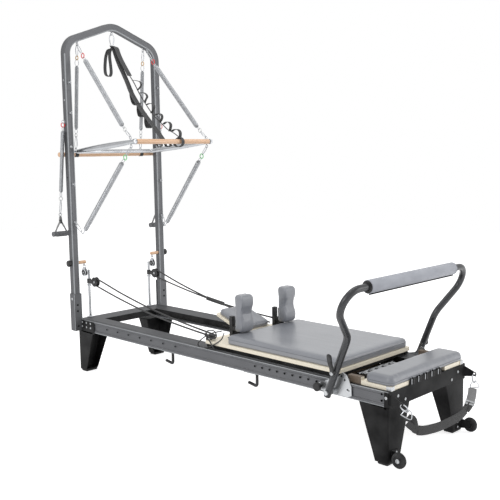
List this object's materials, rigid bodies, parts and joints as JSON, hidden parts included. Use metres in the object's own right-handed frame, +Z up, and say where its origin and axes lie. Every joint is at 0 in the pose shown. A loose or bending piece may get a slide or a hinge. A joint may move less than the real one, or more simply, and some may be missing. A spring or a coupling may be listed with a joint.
{
  "type": "pilates reformer with half tower",
  "caption": "Long low exercise bed with a sliding padded carriage, foot bar and ropes, and a tall arched tower at its head with springs, swinging bar and straps.",
  "frame": {"origin": "on the floor, under the middle of the whole length and halfway across it", "axes": "+X from the tower at the head end to the foot bar end, +Y across to the side without storage hooks, +Z up"},
  "size_m": [2.6248, 1.0286, 2.2313],
  "materials": {
    "anodised": "satin dark anodised",
    "black_coat": "satin black powder coat",
    "charcoal_gloss": "gloss charcoal paint",
    "chrome": "polished",
    "stainless": "brushed",
    "spring_steel": "bright",
    "plywood": "clear lacquer",
    "beech": "clear lacquer",
    "vinyl": "matte vinyl",
    "black_plastic": "matte",
    "webbing": "woven",
    "rope": "braided"
  },
  "bodies": {
    "base": {"rail_left": "anodised", "rail_right": "anodised", "head_crossbeam": "anodised", "foot_crossbeam": "black_coat", "head_leg_left": "black_coat", "head_leg_right": "black_coat", "foot_leg_left": "black_coat", "foot_leg_right": "black_coat", "upright_left": "anodised", "upright_right": "anodised", "arch": "anodised", "platform_board": "plywood", "platform_pad": "vinyl", "spring_bar": "black_coat", "footbar_bracket_left": "stainless", "footbar_bracket_right": "stainless", "riser_left": "chrome", "riser_right": "chrome", "loop_strap": "webbing", "upper_spring_left": "chrome", "upper_spring_right": "chrome", "lower_spring_left": "chrome", "lower_spring_right": "chrome", "roll_down_spring_left": "chrome", "roll_down_spring_right": "chrome", "arm_spring_left": "chrome", "arm_spring_right": "chrome", "carriage_springs": "spring_steel", "rope_left": "rope", "rope_right": "rope"},
    "carriage": {"carriage_frame": "black_coat", "carriage_board": "plywood", "carriage_pad": "vinyl", "shoulder_rest_left": "vinyl", "shoulder_rest_right": "vinyl"},
    "wheels_head": {"carriage_wheels_head": "black_plastic"},
    "wheels_foot": {"carriage_wheels_foot": "black_plastic"},
    "headrest": {"headrest_board": "plywood", "headrest_pad": "vinyl"},
    "footbar": {"footbar_tube": "charcoal_gloss", "footbar_roller": "vinyl"},
    "lever_left": {"footbar_lever_left": "black_plastic"},
    "lever_right": {"footbar_lever_right": "black_plastic"},
    "knob": {"bracket_knob": "black_plastic"},
    "transport_wheel_left": {"transport_wheel_left": "black_plastic"},
    "transport_wheel_right": {"transport_wheel_right": "black_plastic"},
    "pulley_left": {"pulley_housing_left": "black_plastic"},
    "pulley_right": {"pulley_housing_right": "black_plastic"},
    "sheave_left": {"rope_sheave_left": "black_plastic"},
    "sheave_right": {"rope_sheave_right": "black_plastic"},
    "push_frame": {"push_through_frame": "chrome"},
    "push_bar": {"push_through_bar": "beech"},
    "roll_bar": {"roll_down_bar": "beech"},
    "handle_left": {"strap_handle_left": "webbing"},
    "handle_right": {"strap_handle_right": "webbing"},
    "peg_left": {"peg_knob_left": "black_plastic"},
    "peg_right": {"peg_knob_right": "black_plastic"},
    "swivel_left": {"swivel_pulley_left": "black_plastic"},
    "swivel_right": {"swivel_pulley_right": "black_plastic"},
    "strap": {"foot_strap": "webbing"}
  },
  "joints": [
    {"name": "carriage_slide", "type": "slide", "parent": "base", "child": "carriage", "axis": [-1, 0, 0], "range_m": [0, 0.95], "deforming": ["rope_left", "rope_right", "carriage_springs"]},
    {"name": "wheels_head_spin", "type": "hinge", "parent": "carriage", "child": "wheels_head", "pos_m": [0.06661, 0, 0.3283], "axis": [0, -1, 0], "continuous": true},
    {"name": "wheels_foot_spin", "type": "hinge", "parent": "carriage", "child": "wheels_foot", "pos_m": [0.82661, 0, 0.3283], "axis": [0, -1, 0], "continuous": true},
    {"name": "headrest_tilt", "type": "hinge", "parent": "carriage", "child": "headrest", "pos_m": [0.06661, 0, 0.3898], "axis": [0, 1, 0], "range_deg": [-19.5, 12]},
    {"name": "footbar_fold", "type": "hinge", "parent": "base", "child": "footbar", "pos_m": [0.88461, 0, 0.292], "axis": [0, 1, 0], "range_deg": [-20, 50]},
    {"name": "lever_left_turn", "type": "hinge", "parent": "footbar", "child": "lever_left", "pos_m": [0.92776, -0.364, 0.39535], "axis": [0, 1, 0], "range_deg": [0, 25]},
    {"name": "lever_right_turn", "type": "hinge", "parent": "footbar", "child": "lever_right", "pos_m": [0.92776, 0.364, 0.39535], "axis": [0, 1, 0], "range_deg": [0, 25]},
    {"name": "knob_pull", "type": "slide", "parent": "base", "child": "knob", "axis": [0, -1, 0], "range_m": [0, 0.012], "stiffness_N_per_m": 400},
    {"name": "transport_wheel_left_spin", "type": "hinge", "parent": "base", "child": "transport_wheel_left", "pos_m": [1.24161, -0.3113, 0.04], "axis": [0, 1, 0], "continuous": true},
    {"name": "transport_wheel_right_spin", "type": "hinge", "parent": "base", "child": "transport_wheel_right", "pos_m": [1.24161, 0.3113, 0.04], "axis": [0, 1, 0], "continuous": true},
    {"name": "pulley_left_swivel", "type": "hinge", "parent": "base", "child": "pulley_left", "pos_m": [-1.21989, -0.243, 0.581], "axis": [0, 0, 1], "range_deg": [-50, 50], "deforming": ["rope_left"]},
    {"name": "pulley_right_swivel", "type": "hinge", "parent": "base", "child": "pulley_right", "pos_m": [-1.21989, 0.243, 0.581], "axis": [0, 0, 1], "range_deg": [-50, 50], "deforming": ["rope_right"]},
    {"name": "sheave_left_spin", "type": "hinge", "parent": "pulley_left", "child": "sheave_left", "pos_m": [-1.14689, -0.243, 0.581], "axis": [0, 1, 0], "continuous": true, "deforming": ["rope_left"]},
    {"name": "sheave_right_spin", "type": "hinge", "parent": "pulley_right", "child": "sheave_right", "pos_m": [-1.14689, 0.243, 0.581], "axis": [0, 1, 0], "continuous": true, "deforming": ["rope_right"]},
    {"name": "push_through_swing", "type": "hinge", "parent": "base", "child": "push_frame", "pos_m": [-1.21989, 0, 1.415], "axis": [0, 1, 0], "range_deg": [-60, 40], "stiffness_Nm_per_rad": 120, "springref_deg": -12.61, "deforming": ["upper_spring_left", "upper_spring_right", "lower_spring_left", "lower_spring_right", "loop_strap"]},
    {"name": "push_through_bar_spin", "type": "hinge", "parent": "push_frame", "child": "push_bar", "pos_m": [-0.61939, 0, 1.469], "axis": [0, 1, 0], "continuous": true, "deforming": ["loop_strap"]},
    {"name": "roll_down_pull", "type": "slide", "parent": "base", "child": "roll_bar", "axis": [-0.5, 0, -0.866], "range_m": [0, 0.35], "stiffness_N_per_m": 120, "springref_m": -0.06, "deforming": ["roll_down_spring_left", "roll_down_spring_right"]},
    {"name": "handle_left_pull", "type": "slide", "parent": "base", "child": "handle_left", "axis": [0, 0, -1], "range_m": [0, 0.3], "stiffness_N_per_m": 60, "springref_m": -0.06, "deforming": ["arm_spring_left"]},
    {"name": "handle_right_pull", "type": "slide", "parent": "base", "child": "handle_right", "axis": [0, 0, -1], "range_m": [0, 0.3], "stiffness_N_per_m": 60, "springref_m": -0.06, "deforming": ["arm_spring_right"]},
    {"name": "peg_left_turn", "type": "hinge", "parent": "base", "child": "peg_left", "pos_m": [-1.21989, -0.3, 0.709], "axis": [0, 1, 0], "continuous": true},
    {"name": "peg_right_turn", "type": "hinge", "parent": "base", "child": "peg_right", "pos_m": [-1.21989, 0.3, 0.709], "axis": [0, 1, 0], "continuous": true},
    {"name": "swivel_left_swing", "type": "hinge", "parent": "peg_left", "child": "swivel_left", "pos_m": [-1.21989, -0.2752, 0.693], "axis": [0, 1, 0], "range_deg": [-45, 45]},
    {"name": "swivel_right_swing", "type": "hinge", "parent": "peg_right", "child": "swivel_right", "pos_m": [-1.21989, 0.2752, 0.693], "axis": [0, 1, 0], "range_deg": [-45, 45]},
    {"name": "foot_strap_swing", "type": "hinge", "parent": "base", "child": "strap", "pos_m": [1.25491, 0, 0.3], "axis": [0, 1, 0], "range_deg": [-110, 25]}
  ],
  "couplings": [
    {"joint": "wheels_head_spin", "follows": "carriage_slide", "rad_per_m": 35.714},
    {"joint": "wheels_foot_spin", "follows": "carriage_slide", "rad_per_m": 35.714}
  ]
}
